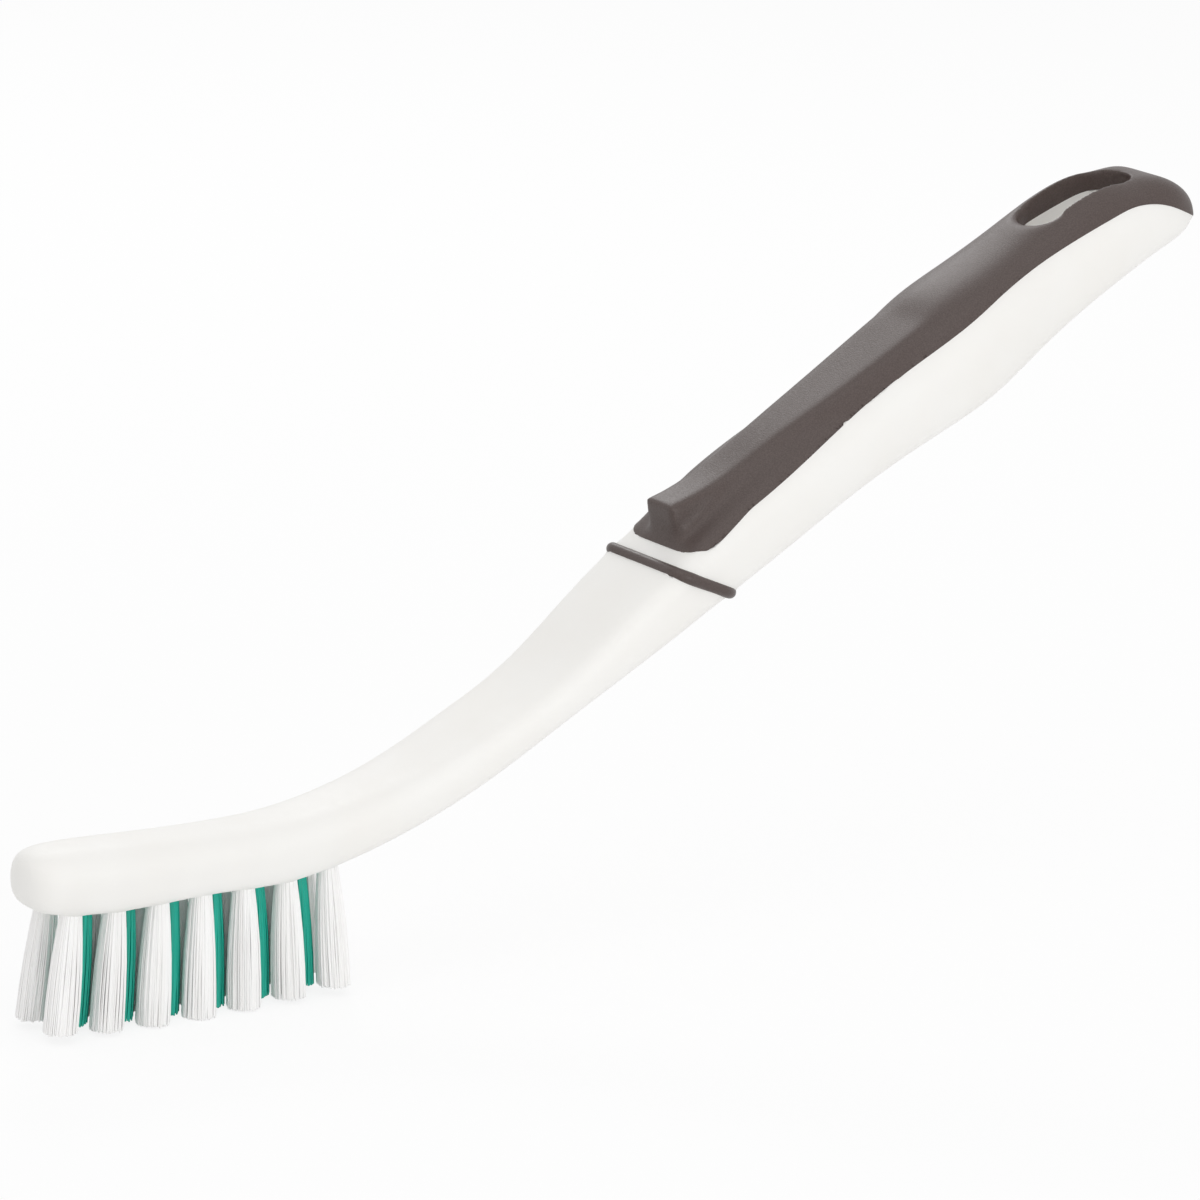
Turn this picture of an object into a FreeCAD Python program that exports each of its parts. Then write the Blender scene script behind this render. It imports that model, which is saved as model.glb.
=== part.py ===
"""Grout brush: a white moulded handle with a soft grip, a neck ring and stapled bristle tufts.

Frame: millimetres, +Z up, +X from the nose to the butt, the bristle tips on the plane z = 0 and the
origin under the middle of the bristle field. The brush is symmetric about the plane y = 0.
"""
import FreeCAD, Part
import math
import os
import Sketcher

SIDE_TUFT_COUNT = 7
CENTRE_TUFT_COUNT = SIDE_TUFT_COUNT - 1

# Driving dimensions, in millimetres and degrees
SIZES = {
    # Bristle field
    "bristle_length": 18.7,
    "tuft_pitch": 7.5,
    "side_tuft_offset": 3.4,
    "tuft_diameter": 3.2,
    "tuft_tip_diameter": 4.6,
    "end_tuft_splay": 1.6,
    "end_tuft_rise": 1.2,
    "side_tuft_splay": 0.5,
    "tuft_hole_clearance": 0.05,
    "tuft_hole_depth": 5.6,
    # Metal staple across the fold of each tuft
    "anchor_thickness": 0.4,
    "anchor_height": 1.6,
    "anchor_bite": 0.25,
    "anchor_fold": 0.8,
    # Centre line of the handle: level head, one bend, straight grip
    "bend_start": 4.95,
    "bend_radius": 95.0,
    "handle_angle": 30.5,
    # Sections along it
    "head_length": 34.4,
    "head_width": 13.8,
    "head_height": 9.2,
    "neck_width": 17.0,
    "neck_height": 7.0,
    "grip_length": 150.0,
    "grip_width": 22.0,
    "grip_height": 17.0,
    # Raised thumb band on the grip
    "band_width": 11.6,
    "band_front_lean": 10.0,
    # Neck ring
    "bead_diameter": 1.9,
    "bead_inset": 0.5,
    # Parting between the white body and the soft grip
    "lip_depth": 1.4,
    "lip_corner_radius": 4.5,
    "lip_corner_inset": 0.8,
    "shoulder_run": 11.0,
    "crest_run": 25.9,
    "rear_sweep_radius": 140.0,
    "rear_sweep_angle": 11.3,
    "rear_turn_radius": 16.0,
    "rear_turn_angle": 52.0,
    # Hang hole
    "hang_setback": 16.4,
    "hang_length": 21.4,
    "hang_width": 8.4,
    "hang_angle": 14.5,
    # Every cut runs this far past what it cuts
    "cut_overrun": 200.0,
}

# The sizes that each zone's shares are of: of its length, or of the bend's angle, of its width and
# of its height
ZONES = {
    "head": ("head_length", "head_width", "head_height"),
    "bend": ("handle_angle", "neck_width", "neck_height"),
    "grip": ("grip_length", "grip_width", "grip_height"),
    "band": ("grip_length", "band_width", "grip_height"),
}

# Cross-sections of the handle, from the nose to the butt: place along the zone, width, top and bottom
# as seen from the centre line, and the corner radii at the top and at the bottom
HANDLE_COLUMNS = ("reach", "width", "top", "bottom", "top_radius", "bottom_radius")
HANDLE_SHARES = {
    "nose_tip": ("head", 0.0, 0.26, 0.40, -0.12, 0.185, 0.17),
    "nose_blunt": ("head", 0.012, 0.48, 0.467, -0.26, 0.315, 0.26),
    "nose_round": ("head", 0.038, 0.70, 0.51, -0.39, 0.41, 0.315),
    "nose_full": ("head", 0.095, 0.885, 0.543, -0.445, 0.467, 0.28),
    "head_front": ("head", 0.215, 0.978, 0.554, -0.478, 0.478, 0.217),
    "head_middle": ("head", 0.666, 1.0, 0.5, -0.5, 0.467, 0.174),
    "head_rear": ("head", 1.0, 1.0, 0.478, -0.489, 0.446, 0.174),
    "neck_root": ("bend", 0.25, 0.835, 0.586, -0.714, 0.543, 0.314),
    "neck_low": ("bend", 0.5, 0.882, 0.55, -0.643, 0.486, 0.371),
    "neck_middle": ("bend", 0.75, 0.94, 0.53, -0.586, 0.43, 0.4),
    "neck_top": ("bend", 1.0, 1.01, 0.457, -0.564, 0.4, 0.414),
    "neck_swell": ("grip", 0.1334, 0.864, 0.224, -0.245, 0.165, 0.188),
    "collar_front": ("grip", 0.24, 0.918, 0.347, -0.259, 0.176, 0.212),
    "lip": ("grip", 0.2733, 0.932, 0.376, -0.262, 0.194, 0.224),
    "collar_rear": ("grip", 0.2941, 0.945, 0.403, -0.265, 0.218, 0.235),
    "grip_thumb": ("grip", 0.4265, 0.973, 0.512, -0.297, 0.353, 0.306),
    "grip_palm": ("grip", 0.6135, 1.0, 0.571, -0.424, 0.459, 0.353),
    "grip_rear": ("grip", 0.7469, 0.991, 0.588, -0.394, 0.459, 0.353),
    "loop_front": ("grip", 0.8333, 0.955, 0.596, -0.359, 0.529, 0.318),
    "loop_middle": ("grip", 0.8934, 0.918, 0.556, -0.374, 0.535, 0.294),
    "loop_rear": ("grip", 0.9345, 0.865, 0.398, -0.4, 0.435, 0.259),
    "butt_round": ("grip", 0.9705, 0.785, 0.225, -0.418, 0.29, 0.2),
    "butt_end": ("grip", 0.9915, 0.625, 0.018, -0.365, 0.165, 0.141),
    "butt_tip": ("grip", 1.0, 0.41, -0.14, -0.294, 0.065, 0.065),
}

# Cross-sections of the raised thumb band. Their sides flare out as they go down, and their bottoms lie
# inside the grip.
BAND_COLUMNS = ("reach", "width", "top", "bottom", "top_radius", "flare")
BAND_SHARES = {
    "band_front": ("band", 0.281, 0.62, 0.728, 0.312, 0.03, 0.043),
    "band_step": ("band", 0.3066, 0.62, 0.675, 0.32, 0.035, 0.086),
    "band_dip": ("band", 0.344, 0.63, 0.626, 0.34, 0.041, 0.207),
    "band_thumb": ("band", 0.4134, 0.68, 0.616, 0.353, 0.053, 0.31),
    "band_middle": ("band", 0.5063, 0.82, 0.605, 0.365, 0.065, 0.32),
    "band_rear": ("band", 0.6933, 1.0, 0.606, 0.412, 0.082, 0.2),
    "band_end": ("band", 0.7934, 0.98, 0.5, 0.3, 0.082, 0.09),
}
SECTION_SHARES = HANDLE_SHARES | BAND_SHARES

# Heights of the parting line above the centre line, of the grip's height
PARTING_SHARES = {"shoulder": 0.388, "crest": 0.448}

doc = FreeCAD.newDocument("GroutBrush")


def fill_sheet():
    """Write every driving dimension to the sheet, one aliased cell each."""
    sheet = doc.addObject("Spreadsheet::Sheet", "Sizes")
    for row, (alias, value) in enumerate(SIZES.items(), start=1):
        sheet.set(f"A{row}", alias)
        sheet.set(f"B{row}", str(value))
        sheet.setAlias(f"B{row}", alias)
    doc.recompute()
    return sheet


SHEET = fill_sheet()


def size(alias):
    """Expression for one cell of the sheet."""
    return f"Sizes.{alias}"


def section_size(section, column):
    """Expression for one size of a cross-section: its share of its zone's size."""
    zone, *shares = SECTION_SHARES[section]
    length, width, height = ZONES[zone]
    whole = {"reach": length, "width": width, "flare": width}.get(column, height)
    columns = BAND_COLUMNS if zone == "band" else HANDLE_COLUMNS
    return f"({shares[columns.index(column)]} * {size(whole)})"


def number(expression):
    """Present value of an expression."""
    value = SHEET.evalExpression(expression)
    return float(getattr(value, "Value", value))


def bind(thing, **expressions):
    """Bind properties to expressions: double underscores in a name stand for dots."""
    for name, expression in expressions.items():
        thing.setExpression(name.replace("__", "."), expression)


# Centre line

AXIS_Z = f"({size('bristle_length')} + {size('head_height')} / 2)"
BEND_X = size("bend_start")
ANGLE = size("handle_angle")
RADIUS = size("bend_radius")


def on_bend(angle):
    """Expressions for the x and z of the bend at an angle."""
    return f"({BEND_X} + {RADIUS} * sin({angle}))", f"({AXIS_Z} + {RADIUS} * (1 - cos({angle})))"


def on_grip(reach, lift):
    """Expressions for the x and z of a point past the bend, lifted square to the grip."""
    x, z = on_bend(ANGLE)
    return (f"({x} + ({reach}) * cos({ANGLE}) - ({lift}) * sin({ANGLE}))",
            f"({z} + ({reach}) * sin({ANGLE}) + ({lift}) * cos({ANGLE}))")


def section_place(section):
    """Expressions for the x, z and tilt of the middle of a cross-section."""
    zone = SECTION_SHARES[section][0]
    reach = section_size(section, "reach")
    lift = f"(({section_size(section, 'top')} + {section_size(section, 'bottom')}) / 2)"
    if zone == "head":
        return f"({BEND_X} - {size('head_length')} + {reach})", f"({AXIS_Z} + {lift})", "0"
    if zone == "bend":
        x, z = on_bend(reach)
        return f"({x} - {lift} * sin({reach}))", f"({z} + {lift} * cos({reach}))", reach
    return *on_grip(reach, lift), ANGLE


# Sketches

def new_body(label):
    body = doc.addObject("PartDesign::Body", label)
    body.Label = label
    return body


def origin_feature(body, role):
    return next(item for item in body.Origin.OriginFeatures if item.Role == role)


def new_sketch(body, name, plane, axis, base, angle):
    """Sketch on an origin plane, shifted by three expressions and turned about a vector of that plane."""
    sketch = body.newObject("Sketcher::SketchObject", name)
    sketch.AttachmentSupport = [(origin_feature(body, plane), "")]
    sketch.MapMode = "FlatFace"
    sketch.AttachmentOffset = FreeCAD.Placement(FreeCAD.Vector(), FreeCAD.Rotation(axis, number(angle)))
    bind(sketch, AttachmentOffset__Base__x=base[0], AttachmentOffset__Base__y=base[1],
         AttachmentOffset__Base__z=base[2], AttachmentOffset__Rotation__Angle=angle)
    return sketch


def section_sketch(body, name, x, z, tilt):
    """Sketch square to the centre line: its x is the brush's Y and its y points up from the brush."""
    return new_sketch(body, name, "YZ_Plane", FreeCAD.Vector(1, 0, 0), ("0", z, x), f"-({tilt})")


def side_sketch(body, name):
    """Sketch in the plane of symmetry, in the grip's own frame: x along the grip, y square to it."""
    x, z = on_bend(ANGLE)
    return new_sketch(body, name, "XZ_Plane", FreeCAD.Vector(0, 0, 1), (x, z, "0"), ANGLE)


def level_sketch(body, name, x, z, tilt="0"):
    """Sketch seen from above, at a height, turned up about Y by the tilt."""
    return new_sketch(body, name, "XY_Plane", FreeCAD.Vector(0, 1, 0), (x, "0", z), f"-({tilt})")


def dimension(sketch, constraint, expression):
    index = sketch.addConstraint(constraint)
    name = f"size_{index}"
    sketch.renameConstraint(index, name)
    sketch.setExpression(f"Constraints.{name}", expression)


def arc_between(start, end, radius, turn):
    """Short arc from start to end: turn is 1 for anticlockwise and -1 for clockwise."""
    chord = end - start
    rise = math.sqrt(radius ** 2 - (chord.Length / 2) ** 2)
    square = FreeCAD.Vector(-chord.y, chord.x, 0).normalize()
    centre = (start + end) / 2 + square * rise * turn
    middle = centre + ((start + end) / 2 - centre).normalize() * radius
    return Part.Arc(start, middle, end)


def draw_loop(sketch, corners):
    """Closed outline. A corner is x, y and the edge to the next corner: None for a line, or an
    arc's radius and turn. Every coordinate and radius is an expression."""
    points = [FreeCAD.Vector(number(x), number(y), 0) for x, y, _ in corners]
    edges = []
    for index, (_, _, arc) in enumerate(corners):
        start, end = points[index], points[(index + 1) % len(points)]
        if arc is None:
            edge = Part.LineSegment(start, end)
        else:
            edge = arc_between(start, end, number(arc[0]), arc[1])
        # A sketch keeps its arcs anticlockwise, so a clockwise one is joined by its other ends
        forward = arc is None or arc[1] > 0
        edges.append((sketch.addGeometry(edge, False), 1 if forward else 2, 2 if forward else 1))
    for index, (x, y, arc) in enumerate(corners):
        edge, first, _ = edges[index]
        before, _, last = edges[index - 1]
        sketch.addConstraint(Sketcher.Constraint("Coincident", before, last, edge, first))
        dimension(sketch, Sketcher.Constraint("DistanceX", -1, 1, edge, first, points[index].x), x)
        dimension(sketch, Sketcher.Constraint("DistanceY", -1, 1, edge, first, points[index].y), y)
        if arc is not None:
            dimension(sketch, Sketcher.Constraint("Radius", edge, number(arc[0])), arc[0])


def draw_rounded(sketch, half_width, half_height, top_radius, bottom_radius):
    """Rounded rectangle about the sketch's origin."""
    side, height = f"({half_width})", f"({half_height})"
    top, low = f"({top_radius})", f"({bottom_radius})"
    draw_loop(sketch, [
        (f"{top} - {side}", height, None),
        (f"{side} - {top}", height, (top, -1)),
        (side, f"{height} - {top}", None),
        (side, f"{low} - {height}", (low, -1)),
        (f"{side} - {low}", f"-{height}", None),
        (f"{low} - {side}", f"-{height}", (low, -1)),
        (f"-{side}", f"{low} - {height}", None),
        (f"-{side}", f"{height} - {top}", (top, -1)),
    ])


def draw_flared(sketch, half_width, half_height, radius, flare):
    """Outline about the sketch's origin that is rounded at its top edges and flares out below them."""
    side, height = f"({half_width})", f"({half_height})"
    slope = f"atan(2 * {height} / {flare})"
    run = f"({radius} * tan({slope} / 2))"
    inner, outer = f"({side} - {run})", f"({side} + {run} * cos({slope}))"
    below = f"({height} - {run} * sin({slope}))"
    draw_loop(sketch, [
        (f"-{inner}", height, None),
        (inner, height, (radius, -1)),
        (outer, below, None),
        (f"{side} + {flare}", f"-{height}", None),
        (f"-{side} - {flare}", f"-{height}", None),
        (f"-{outer}", below, (radius, -1)),
    ])


def draw_rectangle(sketch, x, y, length, width):
    """Rectangle about a point given by two expressions."""
    left, right = f"{x} - {length} / 2", f"{x} + {length} / 2"
    near, far = f"{y} - {width} / 2", f"{y} + {width} / 2"
    draw_loop(sketch, [(left, near, None), (right, near, None), (right, far, None), (left, far, None)])


def draw_circle(sketch, x, y, radius):
    centre = FreeCAD.Vector(number(x), number(y), 0)
    index = sketch.addGeometry(Part.Circle(centre, FreeCAD.Vector(0, 0, 1), number(radius)), False)
    dimension(sketch, Sketcher.Constraint("DistanceX", -1, 1, index, 3, centre.x), x)
    dimension(sketch, Sketcher.Constraint("DistanceY", -1, 1, index, 3, centre.y), y)
    dimension(sketch, Sketcher.Constraint("Radius", index, number(radius)), radius)


# Features

def section_outline(body, name, section, lean="0"):
    """Sketch of one cross-section, leaned back from square by an angle."""
    x, z, tilt = section_place(section)
    sketch = section_sketch(body, f"{name}_{section}", x, z, f"{tilt} - {lean}")
    half_width = f"{section_size(section, 'width')} / 2"
    half_height = f"({section_size(section, 'top')} - {section_size(section, 'bottom')}) / 2"
    radius = section_size(section, "top_radius")
    if section in BAND_SHARES:
        draw_flared(sketch, half_width, half_height, radius, section_size(section, "flare"))
    else:
        draw_rounded(sketch, half_width, half_height, radius, section_size(section, "bottom_radius"))
    return sketch


def loft(body, name, sketches):
    """Smooth solid through cross-sections."""
    feature = body.newObject("PartDesign::AdditiveLoft", name)
    feature.Profile = sketches[0]
    feature.Sections = [(sketch, [""]) for sketch in sketches[1:]]
    doc.recompute()


def add_form(body):
    """Outer form of the whole handle."""
    loft(body, "form", [section_outline(body, "form", section) for section in HANDLE_SHARES])


def add_thumb_band(body):
    """Raised band along the top of the grip, with a blunt front that leans back."""
    front, *others = BAND_SHARES
    sketches = [section_outline(body, "band", front, size("band_front_lean"))]
    sketches += [section_outline(body, "band", section) for section in others]
    loft(body, "thumb_band", sketches)


def cut(body, name, sketch, depth=None):
    """Pocket right through on both sides of the sketch, or along its normal to a depth. It has to cut."""
    before = body.Shape.Volume
    pocket = body.newObject("PartDesign::Pocket", name)
    pocket.Profile = sketch
    if depth is None:
        pocket.Type = "ThroughAll"
        pocket.Midplane = True
    else:
        pocket.Type = "Length"
        pocket.Reversed = True
        bind(pocket, Length=depth)
    doc.recompute()
    if not body.Shape.Volume < before:
        raise RuntimeError(f"{name} cut nothing")
    return pocket


def repeat_along_field(body, name, feature, count):
    """Pattern of a cut along the bristle field, one copy per tuft of a row."""
    pattern = body.newObject("PartDesign::LinearPattern", name)
    pattern.Originals = [feature]
    pattern.Direction = (origin_feature(body, "X_Axis"), [""])
    pattern.Occurrences = count
    bind(pattern, Length=f"{size('tuft_pitch')} * {count - 1}")
    body.Tip = pattern
    doc.recompute()


# Parting line in the grip's own frame: from the lip up to the shoulder and the crest in straight
# lines, then round the loop in two arcs and straight down behind it

LIP_X = section_size("lip", "reach")
LIP_Y = f"({section_size('lip', 'top')} - {size('lip_depth')})"
SHOULDER_X = f"({LIP_X} + {size('shoulder_run')})"
SHOULDER_Y = f"({PARTING_SHARES['shoulder']} * {size('grip_height')})"
LIP_SLOPE = f"atan(({SHOULDER_Y} - {LIP_Y}) / {size('shoulder_run')})"
HANG_X = f"({size('grip_length')} - {size('hang_setback')})"
CREST_X = f"({HANG_X} - {size('crest_run')})"
CREST_Y = f"({PARTING_SHARES['crest']} * {size('grip_height')})"


def parting_line():
    """Corners of the parting line from the shoulder to its far end, as draw_loop takes them."""
    sweep, turn = size("rear_sweep_angle"), size("rear_turn_angle")
    big, small, far = size("rear_sweep_radius"), size("rear_turn_radius"), size("cut_overrun")
    sweep_x = f"({CREST_X} + {big} * sin({sweep}))"
    sweep_y = f"({CREST_Y} - {big} * (1 - cos({sweep})))"
    turn_x = f"({sweep_x} + {small} * (sin({turn}) - sin({sweep})))"
    turn_y = f"({sweep_y} - {small} * (cos({sweep}) - cos({turn})))"
    return [
        (SHOULDER_X, SHOULDER_Y, None),
        (CREST_X, CREST_Y, (big, -1)),
        (sweep_x, sweep_y, (small, -1)),
        (turn_x, turn_y, None),
        (f"({turn_x} + {far} * cos({turn}))", f"({turn_y} - {far} * sin({turn}))", None),
    ]


def front_wall(run):
    """Two corners of a wall that stands square on the lip's floor, a run behind the lip: its top
    and its foot."""
    far = size("cut_overrun")
    foot_x = f"({LIP_X} + {run} * cos({LIP_SLOPE}))"
    foot_y = f"({LIP_Y} + {run} * sin({LIP_SLOPE}))"
    top = (f"({foot_x} - {far} * sin({LIP_SLOPE}))", f"({foot_y} + {far} * cos({LIP_SLOPE}))", None)
    return [top, (foot_x, foot_y, None)]


def lip_sketch(body, name):
    """Sketch on the lip's floor: x runs back from the lip and y is the brush's Y."""
    return level_sketch(body, name, *on_grip(LIP_X, LIP_Y), f"{ANGLE} * 1 deg + {LIP_SLOPE}")


CORNER = size("lip_corner_radius")
CORNER_Y = f"({section_size('collar_rear', 'width')} / 2 - {size('lip_corner_inset')})"
CORNER_START_Y = f"({CORNER_Y} - {CORNER})"


def cut_grip_recess(body):
    """Take away from the handle what the grip fills: all above the parting line, with rounded corners
    at the lip."""
    side = side_sketch(body, "grip_recess_outline")
    line = parting_line()
    draw_loop(side, front_wall(CORNER) + line + [(line[-1][0], size("cut_overrun"), None)])
    cut(body, "grip_recess", side)
    lip = lip_sketch(body, "lip_outline")
    draw_loop(lip, [
        ("0", CORNER_START_Y, (CORNER, -1)),
        (CORNER, CORNER_Y, None),
        (CORNER, f"-{CORNER_Y}", (CORNER, -1)),
        ("0", f"-{CORNER_START_Y}", None),
    ])
    cut(body, "lip_recess", lip, size("cut_overrun"))


def cut_grip_seat(body):
    """Take away from the grip all below the parting line and all before the lip."""
    far = size("cut_overrun")
    side = side_sketch(body, "seat_outline")
    line = parting_line()
    draw_loop(side, front_wall("0") + line + [(f"-{far}", line[-1][1], None), (f"-{far}", far, None)])
    cut(body, "seat", side)
    corners = lip_sketch(body, "lip_corners_outline")
    for sign, turn in (("", 1), ("-", -1)):
        draw_loop(corners, [
            (CORNER, f"{sign}{CORNER_Y}", (CORNER, turn)),
            ("0", f"{sign}{CORNER_START_Y}", None),
            (f"-{far}", f"{sign}{CORNER_START_Y}", None),
            (f"-{far}", f"{sign}{far}", None),
            (CORNER, f"{sign}{far}", None),
        ])
    cut(body, "lip_corners", corners)


def cut_hang_hole(body):
    """Oblong hole through the loop at the butt, square to the top there."""
    x, z = on_grip(HANG_X, section_size("loop_middle", "top"))
    sketch = level_sketch(body, "hang_hole_outline", x, z, size("hang_angle"))
    half_width = f"({size('hang_width')} / 2)"
    straight = f"({size('hang_length')} / 2 - {half_width})"
    # Each round end is two quarter arcs
    draw_loop(sketch, [
        (f"-{straight}", f"-{half_width}", None),
        (straight, f"-{half_width}", (half_width, 1)),
        (f"{straight} + {half_width}", "0", (half_width, 1)),
        (straight, half_width, None),
        (f"-{straight}", half_width, (half_width, 1)),
        (f"-{straight} - {half_width}", "0", (half_width, 1)),
    ])
    cut(body, "hang_hole", sketch)


def ring_sketches(body, radius):
    """Path of the neck ring and its round section. The ring leans forward: its plane runs from the
    top of the front collar section to the bottom of the rear one."""
    front, rear = "collar_front", "collar_rear"
    top, bottom = section_size(front, "top"), section_size(rear, "bottom")
    start, end = section_size(front, "reach"), section_size(rear, "reach")
    run, rise = f"({end} - {start})", f"({top} - {bottom})"
    x, z = on_grip(f"({start} + {end}) / 2", f"({top} + {bottom}) / 2")
    lean = f"({ANGLE} * 1 deg + atan({run} / {rise}))"
    inset = size("bead_inset")
    half_width = f"(({section_size(front, 'width')} + {section_size(rear, 'width')}) / 4 - {inset})"
    half_height = f"(sqrt({run} ^ 2 + {rise} ^ 2) / 2 - {inset})"
    path = section_sketch(body, "ring_path", x, z, lean)
    draw_rounded(path, half_width, half_height, f"{section_size(front, 'top_radius')} - {inset}",
                 f"{section_size(rear, 'bottom_radius')} - {inset}")
    bead = new_sketch(body, "ring_bead", "XZ_Plane", FreeCAD.Vector(0, 0, 1),
                      (f"{x} - {half_height} * sin({lean})", f"{z} + {half_height} * cos({lean})", "0"), "0")
    index = bead.addGeometry(Part.Circle(FreeCAD.Vector(), FreeCAD.Vector(0, 0, 1), number(radius)), False)
    bead.addConstraint(Sketcher.Constraint("Coincident", index, 3, -1, 1))
    dimension(bead, Sketcher.Constraint("Radius", index, number(radius)), radius)
    return path, bead


def ring_pipe(body, kind, name):
    path, bead = ring_sketches(body, f"{size('bead_diameter')} / 2")
    pipe = body.newObject(f"PartDesign::{kind}", name)
    pipe.Profile = bead
    pipe.Spine = (path, [f"Edge{index + 1}" for index in range(len(path.Shape.Edges))])
    doc.recompute()


# Pieces

FIRST_TUFT_X = f"(-{size('tuft_pitch')} * {SIDE_TUFT_COUNT - 1} / 2)"
FIRST_CENTRE_X = f"(-{size('tuft_pitch')} * {CENTRE_TUFT_COUNT - 1} / 2)"
HOLE_RADIUS = f"({size('tuft_diameter')} / 2 + {size('tuft_hole_clearance')})"
HOLE_TOP = f"({size('bristle_length')} + {size('tuft_hole_depth')})"
ANCHOR_LENGTH = f"(2 * {HOLE_RADIUS} + 2 * {size('anchor_bite')})"
ANCHOR_TOP = f"({HOLE_TOP} - {size('anchor_fold')})"
SIDE_Y = size("side_tuft_offset")


def cut_tuft_holes(body):
    """Blind holes for the tufts, each with a slot at its bottom that the staple bites into."""
    outer = level_sketch(body, "outer_holes_outline", FIRST_TUFT_X, "0")
    for y in (SIDE_Y, f"-{SIDE_Y}"):
        draw_circle(outer, "0", y, HOLE_RADIUS)
    repeat_along_field(body, "outer_hole_rows", cut(body, "outer_holes", outer, HOLE_TOP), SIDE_TUFT_COUNT)
    centre = level_sketch(body, "centre_hole_outline", FIRST_CENTRE_X, "0")
    draw_circle(centre, "0", "0", HOLE_RADIUS)
    repeat_along_field(body, "centre_hole_row", cut(body, "centre_hole", centre, HOLE_TOP), CENTRE_TUFT_COUNT)
    anchor_bottom = f"({ANCHOR_TOP} - {size('anchor_height')})"
    outer_slots = level_sketch(body, "outer_slots_outline", FIRST_TUFT_X, anchor_bottom)
    slot = (ANCHOR_LENGTH, size("anchor_thickness"))
    for y in (SIDE_Y, f"-{SIDE_Y}"):
        draw_rectangle(outer_slots, "0", y, *slot)
    cut_slots = cut(body, "outer_slots", outer_slots, size("anchor_height"))
    repeat_along_field(body, "outer_slot_rows", cut_slots, SIDE_TUFT_COUNT)
    centre_slot = level_sketch(body, "centre_slot_outline", FIRST_CENTRE_X, anchor_bottom)
    draw_rectangle(centre_slot, "0", "0", *slot)
    cut_slot = cut(body, "centre_slot", centre_slot, size("anchor_height"))
    repeat_along_field(body, "centre_slot_row", cut_slot, CENTRE_TUFT_COUNT)


def make_handle_body():
    """White moulding: head, neck and the cradle under the grip, in one piece."""
    body = new_body("handle_body")
    add_form(body)
    cut_grip_recess(body)
    cut_hang_hole(body)
    ring_pipe(body, "SubtractivePipe", "ring_groove")
    cut_tuft_holes(body)
    return body


def make_grip():
    """Soft cap moulded over the top of the handle, with its raised thumb band and the loop's rim."""
    body = new_body("grip")
    add_form(body)
    add_thumb_band(body)
    cut_grip_seat(body)
    cut_hang_hole(body)
    return body


def make_neck_ring():
    """Round bead seated in the groove round the neck."""
    body = new_body("neck_ring")
    ring_pipe(body, "AdditivePipe", "bead")
    return body


def anchor_box(name, x, y):
    """Flat metal staple across one tuft hole."""
    box = doc.addObject("Part::Box", name)
    bind(box, Length=ANCHOR_LENGTH, Width=size("anchor_thickness"), Height=size("anchor_height"),
         Placement__Base__x=f"{x} - {ANCHOR_LENGTH} / 2",
         Placement__Base__y=f"{y} - {size('anchor_thickness')} / 2",
         Placement__Base__z=f"{ANCHOR_TOP} - {size('anchor_height')}")
    return box


def tuft_circle(name, x, y, z, radius):
    circle = doc.addObject("Part::Circle", name)
    bind(circle, Radius=radius, Placement__Base__x=x, Placement__Base__y=y, Placement__Base__z=z)
    return circle


def make_tuft(label, x, y, splay_x, splay_y, rise, anchor):
    """One tuft: a round root in its hole, folded round its staple, that spreads towards the tip."""
    root_radius = f"{size('tuft_diameter')} / 2"
    root = f"({HOLE_TOP} - {size('tuft_hole_clearance')})"
    circles = [
        tuft_circle(f"{label}_root", x, y, root, root_radius),
        tuft_circle(f"{label}_mouth", x, y, size("bristle_length"), root_radius),
        tuft_circle(f"{label}_tip", f"{x} + {splay_x}", f"{y} + {splay_y}", rise,
                    f"{size('tuft_tip_diameter')} / 2"),
    ]
    bundle = doc.addObject("Part::Loft", f"{label}_bundle")
    bundle.Sections = circles
    bundle.Solid = True
    bundle.Ruled = True
    tuft = doc.addObject("Part::Cut", label)
    tuft.Base = bundle
    tuft.Tool = anchor
    tuft.Label = label
    return tuft


def make_row(row, count, first_x, y, splay_y):
    """Tufts of one row, and their staples as one group."""
    tufts, anchors = [], []
    for index in range(count):
        x = f"({first_x} + {size('tuft_pitch')} * {index})"
        # Splay and rise grow from nothing at the middle of the field to their whole at the end tufts
        end_share = f"({x} / -{FIRST_TUFT_X})"
        anchor = anchor_box(f"anchor_{row}_{index + 1}", x, y)
        splay_x = f"{size('end_tuft_splay')} * {end_share}"
        rise = f"{size('end_tuft_rise')} * {end_share} ^ 2"
        tufts.append(make_tuft(f"tuft_{row}_{index + 1}", x, y, splay_x, splay_y, rise, anchor))
        anchors.append(anchor)
    group = doc.addObject("Part::Compound", f"anchors_{row}")
    group.Label = f"anchors_{row}"
    group.Links = anchors
    return tufts + [group]


def make_tufts():
    """White outer rows and a coloured centre row, set half a pitch between them."""
    splay = size("side_tuft_splay")
    pieces = make_row("near", SIDE_TUFT_COUNT, FIRST_TUFT_X, f"-{SIDE_Y}", f"-{splay}")
    pieces += make_row("centre", CENTRE_TUFT_COUNT, FIRST_CENTRE_X, "0", "0")
    pieces += make_row("far", SIDE_TUFT_COUNT, FIRST_TUFT_X, SIDE_Y, splay)
    doc.recompute()
    return pieces


def check(pieces):
    """Stop if any feature failed or any piece has no sound shape."""
    for item in doc.Objects:
        if "Invalid" in item.State or "Error" in item.State:
            raise RuntimeError(f"{item.Name} failed: {item.State}")
    for piece in pieces:
        if piece.Shape.isNull() or not piece.Shape.isValid() or not piece.Shape.Solids:
            raise RuntimeError(f"{piece.Label} has no valid solid")


def main():
    pieces = [make_handle_body(), make_grip(), make_neck_ring()] + make_tufts()
    doc.recompute()
    check(pieces)
    os.makedirs("parts", exist_ok=True)
    for piece in pieces:
        piece.Shape.exportStep(f"parts/{piece.Label}.step")
        print(piece.Label, len(piece.Shape.Solids), round(piece.Shape.Volume, 1))


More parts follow.
